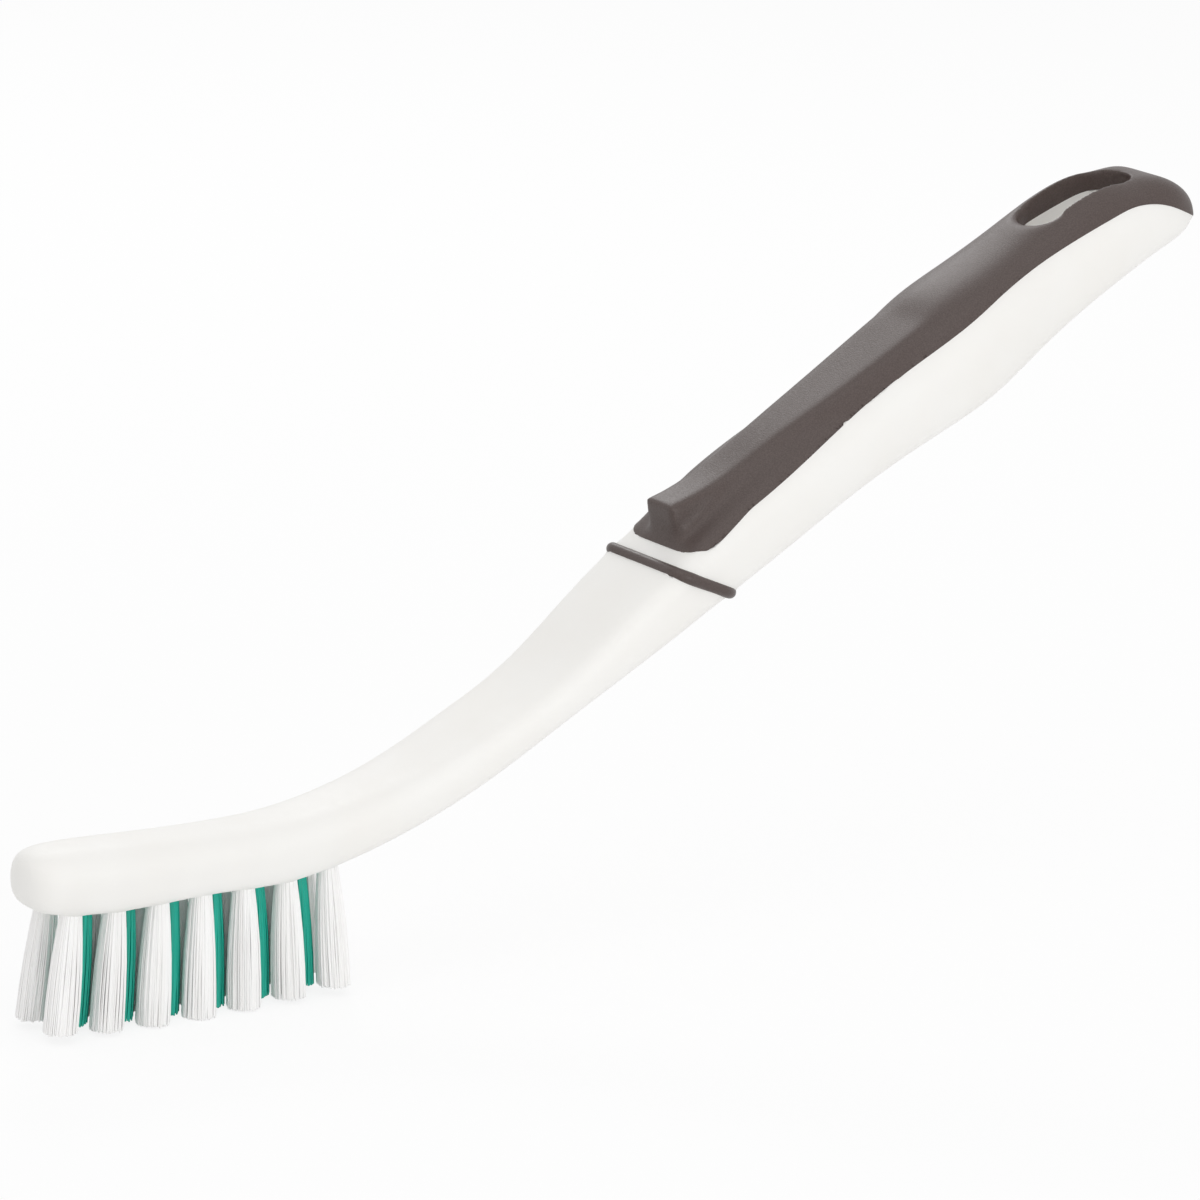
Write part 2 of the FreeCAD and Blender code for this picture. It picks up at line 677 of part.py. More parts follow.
main()
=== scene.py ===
"""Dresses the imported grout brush: moulded handle, rubber grip, neck ring, bristles and a pale stage."""

import math

import bmesh
import bpy
import numpy
from mathutils import Matrix, Vector
from mathutils.bvhtree import BVHTree
from mathutils.geometry import intersect_point_line
from mathutils.kdtree import KDTree


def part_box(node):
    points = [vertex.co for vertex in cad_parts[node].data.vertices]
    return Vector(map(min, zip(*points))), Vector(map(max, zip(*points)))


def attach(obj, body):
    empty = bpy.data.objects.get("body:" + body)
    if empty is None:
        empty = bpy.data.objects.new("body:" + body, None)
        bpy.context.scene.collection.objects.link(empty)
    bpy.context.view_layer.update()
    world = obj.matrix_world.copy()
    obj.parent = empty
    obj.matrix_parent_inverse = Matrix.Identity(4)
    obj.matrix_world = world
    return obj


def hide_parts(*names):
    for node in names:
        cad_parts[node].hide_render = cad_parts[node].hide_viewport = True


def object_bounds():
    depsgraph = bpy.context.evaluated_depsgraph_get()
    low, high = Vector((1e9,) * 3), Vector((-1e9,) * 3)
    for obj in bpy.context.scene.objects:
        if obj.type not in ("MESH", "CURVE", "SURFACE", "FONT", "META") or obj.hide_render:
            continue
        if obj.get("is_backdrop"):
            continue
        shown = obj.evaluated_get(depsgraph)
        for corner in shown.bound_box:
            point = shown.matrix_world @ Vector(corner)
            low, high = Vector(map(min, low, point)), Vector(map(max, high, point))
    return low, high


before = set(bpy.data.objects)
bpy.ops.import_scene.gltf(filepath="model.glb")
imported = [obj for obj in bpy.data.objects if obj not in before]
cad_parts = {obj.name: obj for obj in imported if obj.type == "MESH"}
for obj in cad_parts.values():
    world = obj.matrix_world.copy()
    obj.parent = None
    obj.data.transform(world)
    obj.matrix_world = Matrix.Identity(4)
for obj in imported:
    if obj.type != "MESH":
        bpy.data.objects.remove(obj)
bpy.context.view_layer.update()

bl_info = {
    "name": "Grout Brush",
    "version": (1, 0, 0),
    "blender": (4, 5, 0),
    "location": "3D View > Sidebar > Grout Brush",
    "description": "Builds the visible pieces of a grout brush around its CAD frame",
    "category": "Object",
}

MILLIMETRE = 0.001
BODY = "root"

# How the moulded pieces fit their solids
MERGE_GAP = 0.002 * MILLIMETRE  # gap within which two corners of a solid's mesh are one
SEAM_GAP = 0.05 * MILLIMETRE  # gap within which two pieces touch
SHARP_ANGLE = math.radians(28)  # bend from which an edge of a solid is sharp
CREASE_ANGLE = math.radians(45)  # bend from which the shading breaks
HOLD_SHARE = 0.35  # share of the grid within which a vertex is held on a sharp edge
FIT_ROUNDS = 5
SOFT_PULL = 0.5  # share of the way to the middle of its neighbours that a vertex goes in a round
LARGEST_SCALE = 0.99  # largest share of its grid that an even mesh can fill
LIP_LEAN = 0.85  # share of the lip's shift that is lost at the top of the front step
RIM_SOFT_SHARE = 0.2  # share of the softening that reaches the hang hole's rim

# The grip's own line and its upward side
GRIP_TILT = math.radians(30.5)
GRIP_LINE = numpy.array((math.cos(GRIP_TILT), 0, math.sin(GRIP_TILT)))
GRIP_UP = numpy.array((-math.sin(GRIP_TILT), 0, math.cos(GRIP_TILT)))

# Tufts and filaments
SIDE_TUFTS = 7
CENTRE_TUFTS = 6
LEVEL_GAP = 0.01 * MILLIMETRE  # gap within which a tuft's corners are at one height
GOLDEN_ANGLE = math.pi * (3 - math.sqrt(5))
OUTER_LAYER = 0.1  # thickness of a tuft's outer layer as a share of its radius
STUB_LENGTH = MILLIMETRE  # length of the line that a filament is drawn out from
STUB_POINTS = 5
FILAMENT_SIDES = 6

# Surfaces: shader values, noise in grains per metre, roughness at the noise's low and high ends, and bump
HANDLE_SHADER = {
    "IOR": 1.47,
    "Subsurface Weight": 0.15,
    "Subsurface Scale": 4 * MILLIMETRE,
    "Subsurface Radius": (1, 1, 1),
}
HANDLE_PATCHES = {"Scale": 70, "Detail": 2}
HANDLE_SHEEN = {"Scale": 900, "Detail": 3}
HANDLE_PEEL = {"Scale": 1500, "Detail": 2}
HANDLE_ROUGHNESS = (0.48, 0.58)
HANDLE_BUMP = {"Strength": 0.12, "Distance": 0.02 * MILLIMETRE}
RUBBER_SHADER = {"IOR": 1.45}
RUBBER_GRAIN = {"Scale": 4200, "Detail": 2, "Roughness": 0.6}
RUBBER_BUMP = {"Strength": 0.55, "Distance": 0.08 * MILLIMETRE}
GRIP_ROUGHNESS = (0.48, 0.40)
RING_ROUGHNESS = (0.42, 0.34)
NYLON_SHADER = {"IOR": 1.53}
NYLON_ROUGHNESS = (0.34, 0.48)
WIRE_SCRATCHES = {"Scale": 6000, "Detail": 4}
WIRE_ROUGHNESS = (0.3, 0.5)
NOISE_RANGE = (0.3, 0.7)  # where most values of a noise lie
BLEND_RANGE = (0.35, 0.65)  # where a blend of two colours starts and ends

# Stage, in metres apart from the sensor
WHITE = (1, 1, 1, 1)
PAPER = (0.93, 0.93, 0.93, 1)
SENSOR_MILLIMETRES = 36
NEAREST_VIEW = 0.01
FARTHEST_VIEW = 50
KEY_PLACE = (0.355, 0.655, 0.55)
KEY_WIDTH = 0.17
FILL_PLACE = (0, -1.15, 0.27)
FILL_WIDTH = 0.48
TOP_PLACE = (-0.2, -0.3, 1.2)
TOP_WIDTH = 0.9


# Settings

def length(name, description, default):
    """Length property in metres."""
    return bpy.props.FloatProperty(name=name, description=description, default=default, unit="LENGTH",
                                   precision=5)


def share(name, description, default):
    """Plain number from 0 to 1."""
    return bpy.props.FloatProperty(name=name, description=description, default=default, min=0, max=1,
                                   subtype="FACTOR")


def number(name, description, default, subtype="NONE"):
    """Number, such as an angle or a power."""
    return bpy.props.FloatProperty(name=name, description=description, default=default, subtype=subtype)


def whole_number(name, description, default):
    return bpy.props.IntProperty(name=name, description=description, default=default)


def colour(name, description, default):
    """Linear colour property."""
    return bpy.props.FloatVectorProperty(name=name, description=description, default=default, size=4,
                                         min=0, max=1, subtype="COLOR")


class BristleSettings(bpy.types.PropertyGroup):
    """Sizes and colours of the bristles"""
    filaments: whole_number("Filaments", "Filament ends in one tuft", 200)
    filament_diameter: length("Filament", "Diameter of one filament", 0.27 * MILLIMETRE)
    root_inset: length("Root inset", "How far up its hole a filament starts", 1.5 * MILLIMETRE)
    tip_spread: number("Tip spread", "Spread of the tips over the tuft's own", 1.14)
    tip_scatter: length("Tip scatter", "How far a tip strays from its place", 0.12 * MILLIMETRE)
    trim_scatter: length("Trim scatter", "How uneven the cut of the tips is", 0.22 * MILLIMETRE)
    bow: length("Bow", "How far a filament bows at its middle", 0.1 * MILLIMETRE)
    fullness: length("Fullness", "How far a tuft swells at its middle", 0.28 * MILLIMETRE)
    seed: whole_number("Seed", "Seed of the scatter", 11)
    white: colour("White", "Colour of the side tufts", (0.985, 0.98, 0.975, 1))
    white_shade: colour("White shade", "Colour of the darker side filaments", (0.955, 0.945, 0.935, 1))
    green: colour("Green", "Colour of the centre tufts", (0.012, 0.52, 0.39, 1))
    green_shade: colour("Green shade", "Colour of the darker centre filaments", (0.009, 0.43, 0.32, 1))


class FinishSettings(bpy.types.PropertyGroup):
    """Meshes and colours of the moulded pieces and the staples"""
    handle_grid: length("Handle grid", "Edge length of the handle's mesh", 0.45 * MILLIMETRE)
    grip_grid: length("Grip grid", "Edge length of the grip's mesh", 0.29 * MILLIMETRE)
    ring_grid: length("Ring grid", "Edge length of the neck ring's mesh", 0.18 * MILLIMETRE)
    ring_proud: length("Ring proud", "How far the neck ring presses over its groove", 0.16 * MILLIMETRE)
    seam_reach: length("Seam reach", "Length over which the seam is made even", 1.2 * MILLIMETRE)
    lip_length: length("Lip length", "Length of the grip's front that is brought forward", 11 * MILLIMETRE)
    lip_ledge: length("Lip ledge", "Depth of the lip ahead of the grip's front step", 0.4 * MILLIMETRE)
    lip_forward: length("Lip forward", "How far the lip is brought forward", 1.0 * MILLIMETRE)
    edge_reach: length("Edge reach", "Distance from a seam at which the form is soft", 0.7 * MILLIMETRE)
    rim_reach: length("Rim reach", "Distance from the hang hole at which the grip is soft", 1.2 * MILLIMETRE)
    soft_rounds: whole_number("Soft rounds", "Rounds that soften the form", 36)
    foot_reach: length("Foot reach", "Width of the hollow along the thumb band's foot", 2.6 * MILLIMETRE)
    foot_free: length("Foot free", "Distance from a seam at which the hollow is full", 0.35 * MILLIMETRE)
    foot_rounds: whole_number("Foot rounds", "Rounds that hollow the foot", 140)
    fade_place: length("Fade place", "Where along the brush the thumb band fades out", 143 * MILLIMETRE)
    fade_reach: length("Fade reach", "Half the length that the thumb band takes to fade", 15 * MILLIMETRE)
    fade_free: length("Fade free", "Distance from a seam at which the fade is full", 3.5 * MILLIMETRE)
    fade_rounds: whole_number("Fade rounds", "Rounds that fade the band", 420)
    handle_white: colour("Handle", "Colour of the moulded handle", (0.90, 0.89, 0.865, 1))
    handle_warm: colour("Handle warm", "Colour of the handle's warmer patches", (0.885, 0.87, 0.84, 1))
    grip_grey: colour("Grip", "Colour of the rubber", (0.065, 0.046, 0.041, 1))
    grip_light: colour("Grip light", "Colour of the rubber's lighter grain", (0.086, 0.062, 0.056, 1))
    anchor_metal: colour("Anchors", "Colour of the staples", (0.60, 0.58, 0.54, 1))


class StageSettings(bpy.types.PropertyGroup):
    """Camera, light and floor"""
    look_at: bpy.props.FloatVectorProperty(name="Look at", description="Point at the middle of the picture",
                                           default=(0.07365, 0, 0.0543), subtype="XYZ", unit="LENGTH")
    distance: length("Distance", "Distance from the camera to that point", 1.0)
    azimuth: number("Azimuth", "Camera's turn round the brush", math.radians(36.86), "ANGLE")
    elevation: number("Elevation", "Camera's height as an angle", math.radians(15.05), "ANGLE")
    roll: number("Roll", "Camera's turn about its own line of sight", math.radians(2.95), "ANGLE")
    lens: number("Lens", "Focal length in millimetres", 195, "DISTANCE_CAMERA")
    key_power: number("Key", "Power of the soft light high up behind", 0.9, "POWER")
    fill_power: number("Fill", "Power of the soft light in front", 2.5, "POWER")
    top_power: number("Top", "Power of the soft light overhead", 2.1, "POWER")
    world_strength: number("Surround", "Strength of the light all round", 0.74)
    floor_gap: length("Floor gap", "Gap between the lowest tips and the floor", 0.05 * MILLIMETRE)
    floor_size: length("Floor size", "Width of the floor", 8.0)
    floor_white: share("Floor white", "How much of the floor's look is plain white", 0.86)


class BrushSettings(bpy.types.PropertyGroup):
    """All settings of the brush"""
    bristles: bpy.props.PointerProperty(type=BristleSettings)
    finish: bpy.props.PointerProperty(type=FinishSettings)
    stage: bpy.props.PointerProperty(type=StageSettings)


# Objects and node trees

def add_object(name, data):
    """New object in the scene."""
    item = bpy.data.objects.new(name, data)
    bpy.context.scene.collection.objects.link(item)
    return item


def apply_modifier(piece, modifier):
    """Give a piece the mesh that its modifier makes."""
    mesh = piece.data
    graph = bpy.context.evaluated_depsgraph_get()
    made = bpy.data.meshes.new_from_object(piece.evaluated_get(graph))
    piece.modifiers.remove(modifier)
    piece.data = made
    bpy.data.meshes.remove(mesh)


def empty_tree(owner):
    """Node tree of a material or a world, with no nodes in it."""
    owner.use_nodes = True
    owner.node_tree.nodes.clear()
    return owner.node_tree


def add_node(tree, kind, inputs=None, **settings):
    """New node with its settings and inputs: an input is a value or another node's output."""
    node = tree.nodes.new(kind)
    for key, value in settings.items():
        setattr(node, key, value)
    for key, value in (inputs or {}).items():
        if isinstance(value, bpy.types.NodeSocket):
            tree.links.new(value, node.inputs[key])
        else:
            node.inputs[key].default_value = value
    return node


def math_node(tree, operation, *values):
    """Output of a math node."""
    return add_node(tree, "ShaderNodeMath", dict(enumerate(values)), operation=operation).outputs[0]


def vector_node(tree, operation, *values):
    """Output of a vector math node."""
    return add_node(tree, "ShaderNodeVectorMath", dict(enumerate(values)), operation=operation).outputs[0]


def scaled(tree, vector, factor):
    """A vector times a number."""
    return add_node(tree, "ShaderNodeVectorMath", {0: vector, "Scale": factor}, operation="SCALE").outputs[0]


# Materials

def new_material(name, values):
    """Material with a plain shader, and that shader's tree."""
    material = bpy.data.materials.new(name)
    tree = empty_tree(material)
    shader = add_node(tree, "ShaderNodeBsdfPrincipled", values)
    add_node(tree, "ShaderNodeOutputMaterial", {"Surface": shader.outputs["BSDF"]})
    return material, tree, shader


def grain(tree, noise):
    """Noise on the object's own coordinates."""
    place = add_node(tree, "ShaderNodeTexCoord").outputs["Object"]
    return add_node(tree, "ShaderNodeTexNoise", {"Vector": place, **noise}).outputs["Fac"]


def between(tree, factor, ends):
    """Number that follows a factor from one end to the other."""
    node = add_node(tree, "ShaderNodeMapRange", {
        "Value": factor,
        "From Min": NOISE_RANGE[0],
        "From Max": NOISE_RANGE[1],
        "To Min": ends[0],
        "To Max": ends[1],
    })
    return node.outputs["Result"]


def blend_colours(tree, factor, *colours):
    """Colour that follows a factor from the first to the second."""
    node = add_node(tree, "ShaderNodeValToRGB", {"Fac": factor})
    for stop, position, tint in zip(node.color_ramp.elements, BLEND_RANGE, colours):
        stop.position = position
        stop.color = tint
    return node.outputs["Color"]


def add_bump(tree, shader, height, bump):
    """Give a shader a bump that follows a height."""
    node = add_node(tree, "ShaderNodeBump", {"Height": height, **bump})
    tree.links.new(node.outputs["Normal"], shader.inputs["Normal"])


def handle_plastic(settings):
    """Satin white moulded plastic with a faint orange peel."""
    material, tree, shader = new_material("handle_white", HANDLE_SHADER)
    tint = blend_colours(tree, grain(tree, HANDLE_PATCHES), settings.handle_white, settings.handle_warm)
    tree.links.new(tint, shader.inputs["Base Color"])
    sheen = between(tree, grain(tree, HANDLE_SHEEN), HANDLE_ROUGHNESS)
    tree.links.new(sheen, shader.inputs["Roughness"])
    add_bump(tree, shader, grain(tree, HANDLE_PEEL), HANDLE_BUMP)
    return material


def grip_rubber(settings, name, roughness):
    """Dark rubber with a fine sprayed grain."""
    material, tree, shader = new_material(name, RUBBER_SHADER)
    fine = grain(tree, RUBBER_GRAIN)
    tint = blend_colours(tree, fine, settings.grip_grey, settings.grip_light)
    tree.links.new(tint, shader.inputs["Base Color"])
    tree.links.new(between(tree, fine, roughness), shader.inputs["Roughness"])
    add_bump(tree, shader, fine, RUBBER_BUMP)
    return material


def bristle_nylon(name, light, shade):
    """Nylon filament: each filament a little lighter or darker than its neighbours."""
    material, tree, shader = new_material(name, NYLON_SHADER)
    strand = add_node(tree, "ShaderNodeAttribute", attribute_name="strand").outputs["Fac"]
    tree.links.new(blend_colours(tree, strand, shade, light), shader.inputs["Base Color"])
    tree.links.new(between(tree, strand, NYLON_ROUGHNESS), shader.inputs["Roughness"])
    return material


def anchor_steel(settings):
    """Staple wire with fine scratches."""
    values = {"Metallic": 1, "Base Color": settings.anchor_metal}
    material, tree, shader = new_material("anchor_metal", values)
    scratches = between(tree, grain(tree, WIRE_SCRATCHES), WIRE_ROUGHNESS)
    tree.links.new(scratches, shader.inputs["Roughness"])
    return material


# Meshes

def joined_copy(node):
    """Copy of a CAD node's mesh with its loose triangles merged."""
    joined = bmesh.new()
    joined.from_mesh(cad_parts[node].data)
    bmesh.ops.remove_doubles(joined, verts=joined.verts, dist=MERGE_GAP)
    return joined


def even_mesh(joined, name, grid):
    """Piece of even faces over a merged mesh, which keeps its sharp edges."""
    mesh = bpy.data.meshes.new(name)
    joined.to_mesh(mesh)
    piece = add_object(name, mesh)
    cells = max(piece.dimensions) / grid
    remesh = piece.modifiers.new("Even", "REMESH")
    remesh.mode = "SHARP"
    remesh.octree_depth = math.ceil(math.log2(cells / LARGEST_SCALE))
    remesh.scale = cells / 2 ** remesh.octree_depth
    remesh.use_remove_disconnected = False
    apply_modifier(piece, remesh)
    return piece


def vertex_places(mesh):
    """Places of a mesh's vertices, a row each."""
    places = numpy.empty(len(mesh.vertices) * 3)
    mesh.vertices.foreach_get("co", places)
    return places.reshape(-1, 3)


def edge_links(mesh):
    """Every edge of a mesh both ways round: a vertex and its neighbour."""
    ends = numpy.empty(len(mesh.edges) * 2, dtype=numpy.int64)
    mesh.edges.foreach_get("vertices", ends)
    start, end = ends.reshape(-1, 2).T
    return numpy.concatenate([start, end]), numpy.concatenate([end, start])


def relaxed(links, places, rounds, weight):
    """Places after each is pulled towards the middle of its neighbours by its weight, for some rounds."""
    here, there = links
    moving = weight[here, 0] > 0
    here, there = here[moving], there[moving]
    count = numpy.maximum(numpy.bincount(here, minlength=len(places)), 1)
    for _ in range(rounds):
        middle = numpy.stack([numpy.bincount(here, places[there, axis], len(places)) / count
                              for axis in range(3)], axis=1)
        places = places + SOFT_PULL * weight * (middle - places)
    return places


def sharp_lines(joined, step, chosen):
    """Sharp edges of a merged mesh that are chosen, and a tree of points along them."""
    lines, points = [], []
    for edge in joined.edges:
        if len(edge.link_faces) == 2 and edge.calc_face_angle() > SHARP_ANGLE and chosen(edge):
            first, second = (vertex.co.copy() for vertex in edge.verts)
            parts = max(1, math.ceil(edge.calc_length() / step))
            points += [(first.lerp(second, part / parts), len(lines)) for part in range(parts + 1)]
            lines.append((first, second))
    tree = KDTree(len(points))
    for place, index in points:
        tree.insert(place, index)
    tree.balance()
    return lines, tree


def nearest_on(sharp, place):
    """Nearest point on sharp edges, and the gap to it."""
    lines, tree = sharp
    first, second = lines[tree.find(place)[1]]
    along = intersect_point_line(place, first, second)[1]
    point = first.lerp(second, min(max(along, 0), 1))
    return point, (point - place).length


def fitted_places(links, places, surface, sharp, hold):
    """Places moved onto a CAD surface, with those near its sharp edges held on the edges."""
    held = [bool(sharp[0]) and nearest_on(sharp, Vector(place))[1] < hold for place in places]
    for turn in range(FIT_ROUNDS):
        if turn:
            places = relaxed(links, places, 1, numpy.ones((len(places), 1)))
        places = numpy.array([nearest_on(sharp, Vector(place))[0] if on_edge
                              else surface.find_nearest(Vector(place))[0]
                              for on_edge, place in zip(held, places)])
    return places


def gap_shares(sharp, places, reach):
    """Gap from each place to sharp edges as a share of a reach, up to 1, as a column."""
    gaps = numpy.array([nearest_on(sharp, Vector(place))[1] for place in places])
    return numpy.clip(gaps / reach, 0, 1)[:, None]


def surface_of(nodes):
    """Search tree over the surfaces of CAD nodes."""
    corners, faces = [], []
    for node in nodes:
        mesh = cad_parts[node].data
        first = len(corners)
        corners += [vertex.co.copy() for vertex in mesh.vertices]
        faces += [[first + index for index in face.vertices] for face in mesh.polygons]
    return BVHTree.FromPolygons(corners, faces)


def free_shares(surface, places, reach):
    """How far each place is from a surface as a share of a reach: 0 where it touches, up to 1."""
    gaps = numpy.array([surface.find_nearest(Vector(place))[3] for place in places])
    return numpy.clip((gaps - SEAM_GAP) / reach, 0, 1)[:, None]


def smooth_seam(joined, partner, links, places, grid, reach):
    """Places with the line where a piece meets its partner made even."""
    surface = surface_of([partner])

    def on_partner(edge):
        middle = (edge.verts[0].co + edge.verts[1].co) / 2
        return surface.find_nearest(middle)[3] < SEAM_GAP

    gaps = gap_shares(sharp_lines(joined, grid / 2, on_partner), places, grid * HOLD_SHARE)
    seam = gaps < 1
    here, there = links
    along = seam[here, 0] & seam[there, 0]
    return relaxed((here[along], there[along]), places, round(2 * (reach / grid) ** 2), seam)


def shaped_band(joined, beside, links, places, step, settings):
    """Places of the grip with the thumb band's foot hollowed and its rear end faded out."""
    hollows = sharp_lines(joined, step, lambda edge: not edge.is_convex)
    near_foot = 1 - gap_shares(hollows, places, settings.foot_reach)
    free = free_shares(beside, places, settings.foot_free)
    places = relaxed(links, places, settings.foot_rounds, near_foot * free)
    near_end = 1 - numpy.abs(places[:, :1] - settings.fade_place) / settings.fade_reach
    free = free_shares(beside, places, settings.fade_free)
    return relaxed(links, places, settings.fade_rounds, numpy.clip(near_end, 0, 1) * free)


def rim_shares(joined, places, step, settings):
    """How soft each place of the grip may be beside the rim of the hang hole."""
    loop = settings.fade_place + settings.fade_reach
    rims = sharp_lines(joined, step, lambda edge: edge.is_convex and edge.verts[0].co.x > loop)
    return numpy.maximum(gap_shares(rims, places, settings.rim_reach), RIM_SOFT_SHARE)


def forward_lip(places, settings):
    """Places of the grip with its front lip and the foot of its front step brought forward."""
    along = places @ GRIP_LINE
    height = places @ GRIP_UP
    behind = numpy.clip((along - along.min()) / settings.lip_length, 0, 1)
    front = along < along.min() + settings.lip_length
    low = height[along < along.min() + settings.lip_ledge].max()
    rise = numpy.clip((height - low) / (height[front].max() - low), 0, 1)
    ahead = settings.lip_forward * (1 - behind) ** 2 * (1 - LIP_LEAN * rise)
    return places - ahead[:, None] * GRIP_LINE


def softened_piece(node, partner, neighbours, name, grid, settings, banded=False):
    """Piece with a CAD node's form: crisp where it touches its neighbours, and soft elsewhere. A banded one
    has the thumb band and the front lip."""
    joined = joined_copy(node)
    step = grid / 2
    every = sharp_lines(joined, step, lambda edge: True)
    piece = even_mesh(joined, name, grid)
    mesh = piece.data
    links = edge_links(mesh)
    places = fitted_places(links, vertex_places(mesh), BVHTree.FromBMesh(joined), every, grid * HOLD_SHARE)
    if partner:
        places = smooth_seam(joined, partner, links, places, grid, settings.seam_reach)
    beside = surface_of(neighbours)
    if banded:
        places = shaped_band(joined, beside, links, places, step, settings)
    free = free_shares(beside, places, settings.edge_reach) if neighbours else numpy.ones((len(places), 1))
    if banded:
        free *= rim_shares(joined, places, step, settings)
    places = relaxed(links, places, settings.soft_rounds, free)
    if banded:
        places = forward_lip(places, settings)
    mesh.vertices.foreach_set("co", places.ravel())
    mesh.shade_smooth()
    mesh.set_sharp_from_angle(angle=CREASE_ANGLE)
    mesh.update()
    joined.free()
    return piece


def swell(piece, proud):
    """Move a piece's surface outwards."""
    mesh = piece.data
    outward = numpy.empty(len(mesh.vertices) * 3)
    mesh.vertex_normals.foreach_get("vector", outward)
    places = vertex_places(mesh) + proud * outward.reshape(-1, 3)
    mesh.vertices.foreach_set("co", places.ravel())
    mesh.update()


def dress(piece, material, slot, *nodes):
    """Give a piece its material and its body, and hide the CAD nodes that it stands for."""
    piece.data.materials.clear()
    piece.data.materials.append(material)
    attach(piece, BODY)
    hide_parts(*nodes)


def finish_node(name, material):
    """Give a CAD node that stays in view its material."""
    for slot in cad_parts[name].material_slots:
        slot.material = material


# Bristles

def random_vector(tree, seed):
    """Random vector between -1 and 1 on each axis."""
    node = add_node(tree, "FunctionNodeRandomValue", {0: (-1, -1, -1), 1: (1, 1, 1), "Seed": seed},
                    data_type="FLOAT_VECTOR")
    return node.outputs[0]


def named_vector(tree, name):
    """Vector that was stored under a name."""
    node = add_node(tree, "GeometryNodeInputNamedAttribute", {"Name": name}, data_type="FLOAT_VECTOR")
    return node.outputs["Attribute"]


def moved(tree, geometry, offset):
    """Geometry with its points moved."""
    node = add_node(tree, "GeometryNodeSetPosition", {"Geometry": geometry, "Offset": offset})
    return node.outputs["Geometry"]


